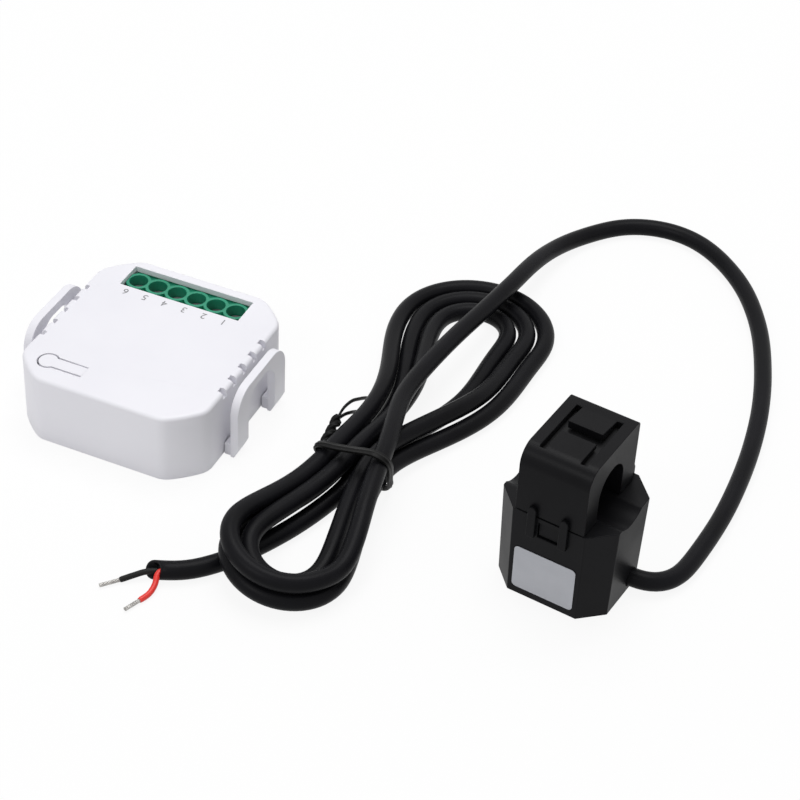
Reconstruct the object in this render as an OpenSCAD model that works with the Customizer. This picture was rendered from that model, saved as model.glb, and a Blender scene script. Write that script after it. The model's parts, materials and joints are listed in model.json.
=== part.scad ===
// Energy monitor: a metering module for a round wall box, and a clip-on current transformer on a lead.
// Millimetres, +Z up. The origin is the middle of the module's base; +Y faces the wire entries.

/* [Module] */
// Width of the module's case
module_w = 47; // [44:0.5:52]
// Depth of the module's case
module_d = 49.4; // [48:0.2:56]
// Height of the module's case
module_h = 17.4; // [16.6:0.2:24]
// Distance by which a circle clips the four corners of the case
corner_in = 4.8; // [3:0.1:6]
// Radius that blends the clipped corners into the sides
blend_r = 5; // [2:0.5:8]
// Wall thickness of the case
wall = 1.6; // [1.2:0.1:2]
// Rounding of the case's upper edge
edge_r = 1; // [0.4:0.1:1.4]
// Thickness of the base cover
base_t = 1.8; // [1.2:0.1:2.4]
// Thickness of the main board
board_t = 1.4; // [1:0.1:1.8]
// Width of one vent notch
vent_w = 1.5; // [0.8:0.1:2]

/* [Terminals] */
// Distance from one terminal to the next
pitch = 5.08; // [5:0.02:5.2]
// Diameter of a screw well
well_d = 4.4; // [4.2:0.1:4.5]
// Diameter of the collar round a screw well; neighbours run into one another
collar_d = 5.9; // [5.6:0.1:6.1]
// Diameter of a screw's thread
screw_d = 2.9; // [2.5:0.1:3]
// Distance that a clamp rises
clamp_rise = 1.5; // [1:0.1:1.8]
// Diameter of a wire entry
entry_d = 2.8; // [2.4:0.1:3]

/* [Button] */
// Diameter of the round end of the button
button_d = 4.4; // [3.6:0.1:5]
// Width of the button's lever
lever_w = 3; // [2:0.1:3.4]
// Length of the lever from the button's middle to its root
lever_l = 9; // [7:0.5:11]
// Width of the slot round the button
slot_w = 0.4; // [0.3:0.05:0.6]

/* [Side clips] */
// Width of a side clip
clip_w = 23.5; // [20:0.5:28]
// Thickness of a side clip
clip_t = 2; // [1.4:0.1:2.6]
// Gap between a side clip and the case
clip_gap = 1.9; // [1.7:0.1:3]
// Width of the opening in a side clip
clip_open_w = 13; // [8:0.5:15]

/* [Current transformer] */
// Width of the transformer's case along the conductor
ct_w = 27.2; // [26:0.2:32]
// Depth of the transformer's case across the conductor
ct_d = 23.8; // [23.8:0.2:25]
// Height of the transformer's case
ct_h = 23.4; // [22:0.2:28]
// Corner cut of the transformer's case
ct_cut = 5.2; // [3:0.1:6]
// Draft of the transformer's case on each side
ct_draft = 0.5; // [0.2:0.1:0.8]
// Wall thickness of the transformer's case
ct_wall = 1.4; // [1:0.1:1.6]
// Width of the jaw along the conductor
jaw_w = 16; // [15.6:0.2:20]
// Height of the jaw
jaw_h = 15.85; // [15.4:0.05:20]
// Diameter of the hole for the conductor
hole_d = 10.4; // [8:0.1:10.8]
// Width of the magnetic core along the conductor
core_w = 11; // [8:0.2:11.4]
// Thickness of the magnetic core
core_t = 2.3; // [1.6:0.1:2.4]

/* [Cable] */
// Diameter of the cable's jacket
cable_d = 4.2; // [3.8:0.1:4.3]
// Diameter of an inner wire
wire_d = 1.3; // [1:0.1:1.6]
// Diameter of the bare strands
strand_d = 0.9; // [0.6:0.1:1]

/* [Hidden] */
$fn = 48;
// Running clearance round a moving piece, and the seam between fixed pieces
run = 0.15;
seam = 0.1;
fit = 0.05;

// Circle that clips the corners
corner_r = norm([module_w, module_d]) / 2 - corner_in;

// Levels inside the module, from the board up
board_z = base_t + 1;
board_top = board_z + board_t;
roof_z = module_h - wall;
cage_z = board_top + 0.3;
cage_floor = cage_z + 0.8;
bar_z = cage_floor + entry_d + 0.1;
bar_t = 0.5;
cage_roof = bar_z + bar_t + 0.2;
cage_top = cage_roof + 1.3;
ledge_z = cage_top + clamp_rise + seam;
head_z = ledge_z + 0.7;
head_h = 1.2;
entry_z = cage_floor + entry_d / 2 + fit;
part_h = roof_z - board_top - 1.1;

// A place on the board, in shares of the case's width and depth
function on_board(x, y) = [module_w * x, module_d * y, board_top];

// Plan of the terminals
ways = 6;
block_x = -1;
block_w = ways * pitch;
block_y1 = module_d / 2 - wall - seam;
block_y0 = block_y1 - 8.6;
block_top = module_h - 1;
well_y = block_y1 - 4.7;
window_y0 = block_y0 - run;
window_y1 = window_y0 + 7.7;
cage_w = pitch - 1.08;
cage_d = 5;
cage_wall = 0.6;
bar_w = cage_w - 2 * cage_wall - 2 * run;
pin_y = block_y0 + 0.8;

// Place of the button and of the switch under it
button_x = -module_w / 2 + 7.2;
button_y = -module_d / 2 + 6.8;
button_z = roof_z - 0.9;
switch_top = board_top + 3.5;
switch_w = 4.5;
plunger_d = 2.5;

// Side clips
clip_y = 0.8;
clip_x = module_w / 2 + clip_gap;
clip_root = 0.2;
clip_foot = 3.2;
clip_round = 6;

// Depth of a vent notch into the top
vent_in = 1.5;

// Place of the current transformer
ct_x = 106.5;
ct_y = -11.8;
ct_turn = -7.7;
ct_slope = ct_draft / ct_h;
ct_half_u = ct_w / 2 - ct_draft;
ct_half_v = ct_d / 2 - ct_draft;
ct_half_c = (ct_w / 2 + ct_d / 2 - ct_cut) / sqrt(2) - ct_draft;
ct_roof = 3;
ct_base_t = 1.2;

// Jaw and conductor hole; the second coordinate is v, across the conductor
jaw_z = ct_h + run;
jaw_top = jaw_z + jaw_h;
jaw_front = -ct_d / 2 + 0.1;
jaw_back = 9.8;
jaw_front_r = 4.2;
jaw_back_r = 1;
tongue_w = 8;
tongue_up = 0.8;
hole_v = -1.2;
hole_z = ct_h + 5.8;
trough_r = 7.3;

// Magnetic core
core_front = -9.5;
core_back = 2 * hole_v - core_front;
core_face = ct_h - fit;
core_drop = 13.8;
core_low = core_face - core_drop;
core_high = jaw_top - 1.8;

// Hinge of the jaw
pin_v = 10.3;
pin_z = ct_h + 1.7;
pin_d = 1.6;
knuckle_r = 1.5;
knuckle_w = 8;
ear_u0 = knuckle_w / 2 + 0.2;
ear_u1 = 7.4;

// Latch; its tongue hangs from the jaw and its barb catches under the bridge of the case
latch_w = 4.6;
latch_v = jaw_front + 0.9;
latch_t = 0.6;
latch_axis_z = jaw_z + 1.35;
barb = 0.28;
latch_low = ct_h - 5.1;
bridge_z = ct_h - 1.3;
bridge_v = latch_v - seam;
rib_u = 3.7;
rib_w = 1.9;

// Cable exit, in the transformer's own plan
exit_v = 3.6;
exit_z = cable_d / 2 + 1;
cable_r = cable_d / 2;

// Hank: parallel loops inside an outline with round ends, a drawn-in waist and a belly to the right
hank_x = 54.5;
hank_y = -5.1;
hank_turn = -3;
hank_up = 78.7;
hank_low = 45.4;
hank_up_r = 20.5;
hank_low_r = 14.3;
hank_waist = 6.8;
hank_up_reach = 32;
hank_low_reach = 27;
hank_belly = 4;
// Spacing of the turns in the loops and at the waist, where they lie in two layers
hank_pitch = cable_d + 0.3;
hank_step = cable_d / 2 + 0.1;
hank_layer = cable_d - 0.4;
// The first turn rides on the second in the lower loop; all turns rise over the tail
hank_tuck = 5.2;
hank_ride = cable_d + 0.5;
hank_hump = [-11.5, -37];
hank_begin = 0.62;
hank_first = 0.13;
hank_last = 3;
hank_rings = 60;
tie_d = 1.1;

// The cable's way from the transformer to the hank, round numbers on the floor and over the loops
lead_points = [
    [126.5, -8.3, 2.6], [129, -4.2, 2.15], [130.3, 3.6, 2.15], [131.4, 16.5, 2.15], [131.3, 29.4, 2.15],
    [130.3, 42.5, 2.15], [128, 57, 2.15], [124, 72, 2.15], [118, 87.6, 2.15], [109, 102, 2.15], [97, 112.5, 2.15],
    [86, 115.5, 2.15], [75, 112, 2.15], [66.6, 102, 2.4], [62.6, 91, 4], [61.4, 79.4, 6.4], [60.8, 69, 7.7],
    [59, 55, 8.4], [57.4, 43.6, 9], [56.3, 32.5, 9.6], [55.6, 20.6, 10.1], [56.2, 12.5, 10.7], [58.4, 3.6, 11.5],
    [60.2, -3.8, 11.8], [61.6, -11.6, 11.6], [63.6, -22.2, 10.6], [65.4, -30, 9.2]];
// The cable's way from the hank to its open end
tail_points = [
    [54, -10, 2.3], [52.9, -15.3, 2.15], [50.9, -22.5, 2.15], [48.3, -29.5, 2.15], [45.4, -35.6, 2.15],
    [42.8, -40.4, 2.15], [39.6, -45, 2.15], [35.4, -49.4, 2.15], [32, -51.3, 2.1]];
tail_end = [29, -52.3, 2.1];
// The two inner wires and their bare strands
black_points = [[25.9, -53.9, 1.6], [25.2, -56, 0.8], [24, -58, 0.7]];
black_tip = [21, -61.5, 0.7];
red_points = [[29.8, -55.9, 1.2], [31.2, -58.4, 0.8], [30.6, -61.4, 0.7]];
red_tip = [29, -65.2, 0.7];
// The tie round the waist, across the loops and up
tie_points = [
    [-8.7, 5.6], [-7.4, 3], [-6, 1.3], [-4, 0.75], [0, 0.6], [3.6, 0.65], [6.2, 0.8], [8, 2.4], [8.4, 5], [9.2, 9],
    [9.4, 11.8], [8.6, 13.9], [6.3, 14.8], [4, 14.3], [0, 12.7], [-4, 11.3], [-7, 10.6], [-9, 9.3], [-9.3, 7.6]];
knot_points = [
    [-9.3, 7.6, 0.4], [-10.1, 8.2, 1.8], [-10.4, 9.2, 3.8], [-10.5, 10.2, 6], [-10.7, 10.8, 8.2], [-10.9, 10.6, 10]];

// Unit vector along v
function unit(v) = v / norm(v);
// A point of the transformer's own plan in the part's frame
function ct_point(p) = [
    ct_x + p.x * cos(ct_turn) - p.y * sin(ct_turn), ct_y + p.x * sin(ct_turn) + p.y * cos(ct_turn), p.z];
// A point of the hank's own plan in the part's frame
function hank_place(a, s, z) = [
    hank_x + a * cos(hank_turn) - s * sin(hank_turn), hank_y + a * sin(hank_turn) + s * cos(hank_turn), z];
// Nearness to the waist, from 0 in the loops to 1 at the tie
function near_waist(s) = exp(-pow(s / (s > 0 ? hank_up_reach : hank_low_reach), 2));
// Outline of the hank: right side, lower end, left side, upper end, one quarter each
function hank_outline(q) = let(
    turn = q - 4 * floor(q / 4), f = turn - floor(turn), ease = (1 - cos(180 * f)) / 2,
    top = hank_up - hank_up_r, low = hank_low_r - hank_low,
    s = turn < 1 ? top + (low - top) * f : turn < 2 ? low - hank_low_r * sin(180 * f)
        : turn < 3 ? low + (top - low) * f : top + hank_up_r * sin(180 * f),
    half = turn < 1 ? hank_up_r + (hank_low_r - hank_up_r) * ease : turn < 2 ? hank_low_r
        : turn < 3 ? hank_low_r + (hank_up_r - hank_low_r) * ease : hank_up_r,
    side = turn < 1 ? 1 : turn < 2 ? cos(180 * f) : turn < 3 ? -1 : -cos(180 * f),
    belly = hank_belly * (1 - cos(360 * min(1, max(0, s / top)))) / 2)
    [half * side * (1 - near_waist(s) * (1 - hank_waist / half)) + belly, s];
// Centre of the hank's cable after k turns
function hank_point(k) = let(
    q = hank_begin + 4 * k, p = hank_outline(q),
    t = unit(hank_outline(q + 0.002) - hank_outline(q - 0.002)),
    g = near_waist(p.y), gap = hank_step * g + hank_pitch * (1 - g),
    first = k < 0.75, below = p.y < 0,
    in = gap * (k - 0.2) - (below && !first ? hank_tuck * (1 - g) : 0),
    layer = hank_layer * sin(90 * min(1, 1.3 * g)),
    lift = first && below ? hank_ride + (hank_layer - hank_ride) * g : first || (k > 1.75 && k < 2.75) ? layer : 0,
    hump = (cable_d + 0.5) * exp(-pow(norm(p - hank_hump) / 17, 2)))
    hank_place(p.x + in * t.y, p.y - in * t.x,
        cable_r + (tie_d + 0.6) * exp(-pow(p.y / 12, 2)) + lift + hump);
function hank_turns(rings) = let(n = round((hank_last - hank_first) * rings))
    [for (i = [0 : n]) hank_first + (hank_last - hank_first) * i / n];
hank_in = hank_point(hank_first);
hank_out = hank_point(hank_last);
hank_in_way = unit(hank_point(hank_first + 0.004) - hank_in);
hank_out_way = unit(hank_out - hank_point(hank_last - 0.004));
tail_way = unit(tail_end - tail_points[len(tail_points) - 1]);
wire_side = [-0.62 * tail_way.y, 0.62 * tail_way.x, -0.5];
black_start = tail_end + 0.12 * tail_way - wire_side;
red_start = tail_end + 0.12 * tail_way + wire_side;

// Point on a smooth curve through four route points
function between(a, b, c, d, t) =
    0.5 * (2 * b + (c - a) * t + (2 * a - 5 * b + 4 * c - d) * t * t + (3 * b - a - 3 * c + d) * t * t * t);
function smooth(r, steps) = let(n = len(r) - 1) concat(
    [for (i = [0 : n - 1]) for (j = [0 : steps - 1])
        between(r[max(i - 1, 0)], r[i], r[i + 1], r[min(i + 2, n)], j / steps)], [r[n]]);
// One ring of points square to a path
function ring(p, way, r, n) = let(a = unit(cross([0, 0, 1], way)), b = cross(way, a))
    [for (k = [0 : n - 1]) p + r * (cos(360 * (k + 0.5) / n) * a + sin(360 * (k + 0.5) / n) * b)];
function way_at(p, i) = unit(p[min(i + 1, len(p) - 1)] - p[max(i - 1, 0)]);

// A round tube along a path, one closed solid of triangles
module tube(path, d, n) {
    m = len(path);
    points = [for (i = [0 : m - 1]) each ring(path[i], way_at(path, i), d / 2, n)];
    sides = [for (i = [0 : m - 2]) for (k = [0 : n - 1]) let(a = i * n + k, b = i * n + (k + 1) % n)
        each [[a, b + n, b], [a, a + n, b + n]]];
    first = [for (k = [1 : n - 2]) [0, k, k + 1]];
    last = [for (k = [1 : n - 2]) [(m - 1) * n, (m - 1) * n + k + 1, (m - 1) * n + k]];
    polyhedron(points, concat(sides, first, last));
}

// A plate with its four corners clipped by a circle
module clipped_plate(w, d, r, t) {
    intersection() {
        translate([-w / 2, -d / 2, 0]) cube([w, d, t]);
        cylinder(r = r, h = t, $fn = 96);
    }
}

// A rectangle on the X axis with its two upper corners rounded
module arched(w, h, r) {
    translate([-w / 2, 0]) square([w, h - r]);
    translate([-w / 2 + r, 0]) square([w - 2 * r, h]);
    for (side = [-1, 1]) translate([side * (w / 2 - r), h - r]) circle(r);
}

// A block with clipped corners and a rounded upper edge
module envelope(w, d, clip, h, r) {
    intersection() {
        rotate([90, 0, 0]) linear_extrude(d, center = true) arched(w, h, r);
        rotate([90, 0, 90]) linear_extrude(w, center = true) arched(d, h, r);
        rotate_extrude($fn = 96) {
            square([clip, h - r]);
            square([clip - r, h]);
            translate([clip - r, h - r]) circle(r);
        }
    }
}

// The outside of the case: corners clipped and blended, the upper edge rounded
module case_form() hull() for (a = [0 : 15 : 90])
    linear_extrude(module_h - edge_r + edge_r * sin(a))
        offset(delta = edge_r * cos(a) - edge_r)
            offset(r = blend_r, $fn = 96) offset(delta = -blend_r) intersection() {
                square([module_w, module_d], center = true);
                circle(corner_r, $fn = 96);
            }

// Plan of the button: a round end on a lever, grown by g
module keyhole(g) {
    translate([button_x, button_y]) circle(button_d / 2 + g);
    translate([button_x, button_y - lever_w / 2 - g]) square([lever_l + (g > 0 ? run : 0), lever_w + 2 * g]);
}

function way_x(i) = block_x + pitch * (i - (ways + 1) / 2);

module housing_shell() color("white") difference() {
    case_form();
    translate([0, 0, -1])
        envelope(module_w - 2 * wall, module_d - 2 * wall, corner_r - wall, roof_z + 1, edge_r / 2);
    translate([block_x - block_w / 2 - run, window_y0, roof_z - 1])
        cube([block_w + 2 * run, window_y1 - window_y0, wall + 2]);
    translate([0, 0, roof_z - 1]) linear_extrude(wall + 2) keyhole(slot_w);
    for (side = [-1, 1]) for (k = [-2 : 2])
        translate([side * module_w / 2 - vent_in, 4.8 * k - vent_w / 2, module_h - 2])
            cube([2 * vent_in, vent_w, 4]);
    for (i = [1 : ways]) translate([way_x(i) - 1.8, module_d / 2 - wall - 1, entry_z - 1.8])
        cube([3.6, wall + 2, 3.6]);
}

// Places of the posts that carry the board
post_x = module_w * 0.32;
post_y = module_d * 0.22;
module base_cover() color("whitesmoke") {
    clipped_plate(module_w - 2 * wall - 2 * seam, module_d - 2 * wall - 2 * seam, corner_r - wall - seam, base_t);
    for (x = [-post_x, post_x]) for (y = [-post_y, post_y])
        translate([x, y, base_t]) cylinder(r = 1.5, h = board_z - base_t);
}

// One clip standing on the right of the module, its feet joined to the case by two webs
module side_clip() difference() {
    union() {
        translate([clip_x, clip_y, 0]) rotate([90, 0, 90]) linear_extrude(clip_t) difference() {
            arched(clip_w, module_h, clip_round);
            translate([0, -3]) arched(clip_open_w, module_h + 0.6, clip_round - 1);
        }
        for (side = [-1, 1])
            translate([module_w / 2 + clip_root, clip_y + side * (clip_w + clip_open_w) / 4 - 2.2, 0])
                cube([clip_gap - clip_root + 0.5, 4.4, clip_foot]);
    }
    translate([clip_x + clip_t, clip_y + clip_w, 0]) rotate([90, 0, 0])
        linear_extrude(2 * clip_w) polygon([[0.1, -0.1], [-clip_t * 0.6, -0.1], [0.1, 2.8]]);
}

module side_clip_right() color("white") side_clip();
module side_clip_left() color("white") mirror([1, 0, 0]) side_clip();

module button_tab() color("white") {
    translate([0, 0, roof_z]) linear_extrude(wall) keyhole(0);
    translate([button_x, button_y, button_z]) cylinder(d = 2.4, h = roof_z - button_z + 0.2);
}

// The green block: screw wells from above, clamp pockets inside, wire entries from +Y
module terminal_block() color("seagreen") difference() {
    union() {
        intersection() {
            translate([block_x - block_w / 2, block_y0, board_top])
                cube([block_w, block_y1 - block_y0, roof_z - seam - edge_r / 4 - board_top]);
            cylinder(r = corner_r - wall - seam, h = module_h, $fn = 96);
        }
        intersection() {
            translate([block_x - block_w / 2, block_y0, roof_z - 1])
                cube([block_w, window_y1 - run - block_y0, block_top - roof_z + 1]);
            for (i = [1 : ways]) translate([way_x(i), well_y, 0]) cylinder(d = collar_d, h = module_h);
        }
    }
    for (i = [1 : ways]) translate([way_x(i), well_y, 0]) {
        translate([0, 0, head_z]) cylinder(d = well_d, h = module_h);
        translate([0, 0, ledge_z - 1]) cylinder(d = screw_d + 0.3, h = 4);
        translate([-cage_w / 2 - run, -cage_d / 2 - run, board_top - 1])
            cube([cage_w + 2 * run, cage_d + 2 * run, ledge_z - board_top + 1]);
        translate([0, 0, entry_z]) rotate([-90, 0, 0]) cylinder(d = entry_d, h = 10);
        translate([-bar_w / 2 - seam, pin_y - well_y - 0.4, board_top - 1])
            cube([bar_w + 2 * seam, well_y - pin_y, bar_z + bar_t - board_top + 1 + fit]);
    }
}

// A slotted clamp screw; it turns in the block and does not climb
module terminal_screw(i) color("silver") translate([way_x(i), well_y, 0]) difference() {
    union() {
        translate([0, 0, head_z]) cylinder(d = well_d - 0.3, h = head_h);
        translate([0, 0, bar_z + bar_t + fit]) cylinder(d = screw_d, h = head_z - bar_z - bar_t - fit + 0.1);
    }
    translate([-well_d, -0.35, head_z + head_h - 0.7]) cube([2 * well_d, 0.7, 1]);
}

// A clamp: a square frame that its screw draws up against the contact bar
module terminal_cage(i) color("goldenrod") translate([way_x(i), well_y, cage_z]) difference() {
    translate([-cage_w / 2, -cage_d / 2, 0]) cube([cage_w, cage_d, cage_top - cage_z]);
    translate([-cage_w / 2 + cage_wall, -cage_d, cage_floor - cage_z])
        cube([cage_w - 2 * cage_wall, 2 * cage_d, cage_roof - cage_floor]);
    cylinder(d = screw_d + 2 * fit, h = module_h);
}

module terminal_screw_1() terminal_screw(1);
module terminal_screw_2() terminal_screw(2);
module terminal_screw_3() terminal_screw(3);
module terminal_screw_4() terminal_screw(4);
module terminal_screw_5() terminal_screw(5);
module terminal_screw_6() terminal_screw(6);
module terminal_cage_1() terminal_cage(1);
module terminal_cage_2() terminal_cage(2);
module terminal_cage_3() terminal_cage(3);
module terminal_cage_4() terminal_cage(4);
module terminal_cage_5() terminal_cage(5);
module terminal_cage_6() terminal_cage(6);

// Six contact bars, each with a pin through the board
module terminal_pins() color("gold") for (i = [1 : ways]) translate([way_x(i), pin_y, 0]) {
    translate([-bar_w / 2, -0.3, bar_z]) cube([bar_w, well_y + cage_d / 2 - pin_y, bar_t]);
    translate([-0.5, -0.3, board_z - 0.6]) cube([1, 0.6, bar_z - board_z + 0.7]);
}

module main_board() color("darkgreen") difference() {
    translate([0, 0, board_z])
        clipped_plate(module_w - 2 * wall - 1, module_d - 2 * wall - 1, corner_r - wall - 0.5, board_t);
    for (i = [1 : ways]) translate([way_x(i), pin_y, 0]) cylinder(d = 1.4, h = board_top + 1);
}

// The radio's own small board, and the can over its parts
radio_w = module_w * 0.4;
radio_d = module_d * 0.28;
radio_t = 0.8;
module radio_board() color("navy") translate(on_board(-0.425, -0.235)) cube([radio_w, radio_d, radio_t]);

module radio_shield() color("silver") translate(on_board(-0.425, -0.235) + [1, 1, radio_t]) difference() {
    cube([radio_w * 0.62, radio_d - 2, 2.4]);
    translate([0.3, 0.3, -1]) cube([radio_w * 0.62 - 0.6, radio_d - 2.6, 3.1]);
}

// The small mains transformer: ferrite halves, taped winding and a pin base
mains_w = module_w * 0.276;
mains_d = module_d * 0.222;
module mains_transformer() color("darkkhaki") translate(on_board(0.223, -0.121)) {
    translate([-mains_w / 2, -mains_d / 2, 0]) cube([mains_w, mains_d, 2]);
    translate([-mains_w / 2 + 2, -mains_d / 2 + 0.5, 2]) cube([mains_w - 4, mains_d - 1, part_h - 3.5]);
    for (x = [-mains_w / 2 + 0.5, mains_w / 2 - 2.1])
        translate([x, -mains_d / 4, 1.9]) cube([1.6, mains_d / 2, part_h - 3]);
    translate([-mains_w / 2 + 0.5, -mains_d / 4, part_h - 1.5]) cube([mains_w - 1, mains_d / 2, 1]);
}

capacitor_d = module_w * 0.17;
module filter_capacitors() color("black") for (x = [0.03, 0.234])
    translate(on_board(x, -0.346)) cylinder(d = capacitor_d, h = part_h);

disc_d = module_w * 0.15;
module varistor() color("royalblue") translate(on_board(0.255, 0.172)) {
    translate([0, 0, disc_d / 2 + 0.7]) rotate([90, 0, 0]) cylinder(d = disc_d, h = disc_d / 2, center = true);
    for (x = [-disc_d / 3, disc_d / 3]) translate([x, 0, 0]) cylinder(d = 0.8, h = disc_d / 2);
}

fuse_l = module_w * 0.17;
fuse_d = module_w * 0.064;
module fuse_resistor() color("tan") translate(on_board(0.043, 0.192)) {
    translate([-fuse_l / 2, 0, fuse_d / 2 + 0.2]) rotate([0, 90, 0]) cylinder(d = fuse_d, h = fuse_l);
    for (side = [-1, 1]) translate([side * (fuse_l / 2 + 0.7) - 0.3, -0.3, 0]) cube([0.6, 0.6, fuse_d / 2 + 0.5]);
    for (side = [-1, 1]) translate([side * fuse_l / 2 - 0.9, -0.3, fuse_d / 2 - 0.1]) cube([1.8, 0.6, 0.6]);
}

// A chip with its legs along both long sides
module chip(w, legs) {
    translate([-w / 2, -2, 0.2]) cube([w, 4, 1.5]);
    for (k = [0 : legs - 1]) translate([w * ((k + 0.5) / legs - 0.5) - 0.2, -3, 0]) cube([0.4, 6, 0.4]);
}

module bridge_rectifier() color("black") translate(on_board(0.043, 0.04)) chip(4.8, 2);
module metering_chip() color("black") translate(on_board(-0.255, 0.162)) chip(10.2, 8);
module power_chip() color("black") translate(on_board(0.191, 0.053)) chip(5.1, 4);

module status_led() color("lime") translate(on_board(-0.19, -0.334)) cube([1.6, 0.8, 0.7]);

module tact_switch() color("dimgray") translate([button_x, button_y, board_top]) difference() {
    translate([-switch_w / 2, -switch_w / 2, 0]) cube([switch_w, switch_w, switch_top - board_top]);
    translate([0, 0, 1]) cylinder(d = plunger_d + 0.3, h = 10);
}

module switch_plunger() color("black") translate([button_x, button_y, board_top + 2])
    cylinder(d = plunger_d, h = button_z - 0.2 - board_top - 2);

// The current transformer is drawn in its own plan: u along the conductor, v across it
module at_ct() translate([ct_x, ct_y, 0]) rotate(ct_turn) children();

// An eight-sided block that widens upwards; the halves are measured at the floor
module tapered(half_u, half_v, half_c, z0, z1) intersection() {
    rotate([90, 0, 0]) slab(half_u, z0, z1);
    rotate([90, 0, 90]) slab(half_v, z0, z1);
    rotate([90, 0, 45]) slab(half_c, z0, z1);
    rotate([90, 0, -45]) slab(half_c, z0, z1);
}

module slab(half, z0, z1) linear_extrude(3 * ct_w, center = true) polygon([
    [-half - ct_slope * z0, z0], [half + ct_slope * z0, z0], [half + ct_slope * z1, z1], [-half - ct_slope * z1, z1]]);

// Opening for both legs of the core, grown by g
module core_legs(z0, z1, g) for (v = [core_front, core_back - core_t])
    translate([-core_w / 2 - g, v - g, z0]) cube([core_w + 2 * g, core_t + 2 * g, z1 - z0]);

module ct_case() color("black") at_ct() difference() {
    union() {
        tapered(ct_half_u, ct_half_v, ct_half_c, 0, ct_h);
        for (side = [-1, 1]) translate([side * rib_u, 0, 0]) {
            translate([0, -ct_d / 2 - fit, ct_h - 5.2]) rotate([90, 0, 0]) linear_extrude(0.85) arched(rib_w, 8, 0.9);
            translate([-rib_w / 2, -ct_d / 2 - 0.3, ct_h - 5.2]) cube([rib_w, 1, 5.2]);
        }
        for (side = [-1, 1]) translate([side > 0 ? ear_u0 : -ear_u1, pin_v, 0]) {
            translate([0, 0, pin_z]) rotate([0, 90, 0]) cylinder(r = knuckle_r, h = ear_u1 - ear_u0);
            translate([0, -knuckle_r, ct_h - 0.5]) cube([ear_u1 - ear_u0, 2 * knuckle_r, pin_z - ct_h + 0.5]);
        }
    }
    tapered(ct_half_u - ct_wall, ct_half_v - ct_wall, ct_half_c - ct_wall, -1, ct_h - ct_roof);
    core_legs(ct_h - ct_roof - 1, ct_h + 1, seam);
    translate([0, hole_v, hole_z]) rotate([0, 90, 0]) cylinder(r = trough_r, h = 2 * ct_w, center = true, $fn = 96);
    translate([-latch_w / 2 - 0.3, bridge_v, latch_low - 0.6])
        cube([latch_w + 0.6, core_front - seam - bridge_v, ct_h]);
    translate([-latch_w / 2 - run, -ct_d, latch_low - 0.2])
        cube([latch_w + 2 * run, ct_d + bridge_v + latch_t, bridge_z - latch_low + 0.2]);
    translate([0, pin_v, pin_z]) rotate([0, 90, 0]) cylinder(d = pin_d + 0.04, h = 2 * ct_w, center = true);
    translate([ct_half_u - 4, exit_v, exit_z]) rotate([0, 90, 0]) cylinder(r = cable_r + fit, h = 10);
}

module ct_base_plate() color("black") at_ct()
    tapered(ct_half_u - ct_wall - seam, ct_half_v - ct_wall - seam, ct_half_c - ct_wall - seam, 0, ct_base_t);

// Side view of the jaw, with a wide shoulder at the front and a small one at the back
module jaw_side() {
    translate([jaw_front, jaw_z]) square([jaw_back - jaw_front, jaw_h - jaw_front_r]);
    translate([jaw_front + jaw_front_r, jaw_z]) square([jaw_back - jaw_back_r - jaw_front - jaw_front_r, jaw_h]);
    translate([jaw_back - 2 * jaw_back_r, jaw_z]) square([2 * jaw_back_r, jaw_h - jaw_back_r]);
    translate([jaw_front + jaw_front_r, jaw_top - jaw_front_r]) circle(jaw_front_r);
    translate([jaw_back - jaw_back_r, jaw_top - jaw_back_r]) circle(jaw_back_r);
}

module jaw_block(w) rotate([90, 0, 90]) linear_extrude(w, center = true) jaw_side();

module ct_jaw() color("black") at_ct() difference() {
    union() {
        difference() {
            jaw_block(jaw_w);
            translate([-core_w / 2 + 0.1, core_front + 0.7, core_high])
                cube([core_w - 0.2, core_back - core_front - 0.8, 10]);
            for (side = [-1, 1])
                translate([side > 0 ? ear_u0 - run : -ear_u1 - 0.3, pin_v - knuckle_r - 0.25, jaw_z - 1])
                    cube([ear_u1 - ear_u0 + 0.3 + run, 10, pin_z + knuckle_r + 0.25 - jaw_z + 1]);
        }
        for (v = [[core_front + 0.6, hole_v - 0.7], [hole_v + 1.8, core_back]]) intersection() {
            jaw_block(tongue_w);
            translate([-jaw_w / 2, v[0], jaw_top - 1.2]) cube([jaw_w, v[1] - v[0], jaw_h]);
        }
        translate([-tongue_w / 2, hole_v + 1.8, jaw_top - 0.1]) rotate([90, 0, 90]) linear_extrude(tongue_w)
            polygon([[0, 0], [0, tongue_up], [0.6, tongue_up], [core_back - hole_v - 1.8, 0]]);
        translate([0, pin_v, pin_z]) rotate([0, 90, 0]) cylinder(r = knuckle_r, h = knuckle_w, center = true);
        translate([-knuckle_w / 2, jaw_back - 1, jaw_z + 0.1]) cube([knuckle_w, pin_v - jaw_back + 1, 2 * knuckle_r]);
    }
    translate([0, hole_v, hole_z]) rotate([0, 90, 0]) cylinder(d = hole_d, h = 2 * ct_w, center = true, $fn = 96);
    translate([-ct_w, hole_v - hole_d / 2, jaw_z - 1]) cube([2 * ct_w, hole_d, hole_z - jaw_z + 1]);
    core_legs(jaw_z - 1, core_high + seam, seam);
    translate([-core_w / 2 - seam, core_front - seam, core_high - core_t - seam])
        cube([core_w + 2 * seam, core_back - core_front + 2 * seam, core_t + 2 * seam]);
    translate([-latch_w / 2 - 0.25, bridge_v, jaw_z - 1])
        cube([latch_w + 0.5, latch_t + 0.4, latch_axis_z - jaw_z + 1.8]);
    translate([0, pin_v, pin_z]) rotate([0, 90, 0]) cylinder(d = pin_d + 2 * fit, h = 2 * ct_w, center = true);
}

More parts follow.
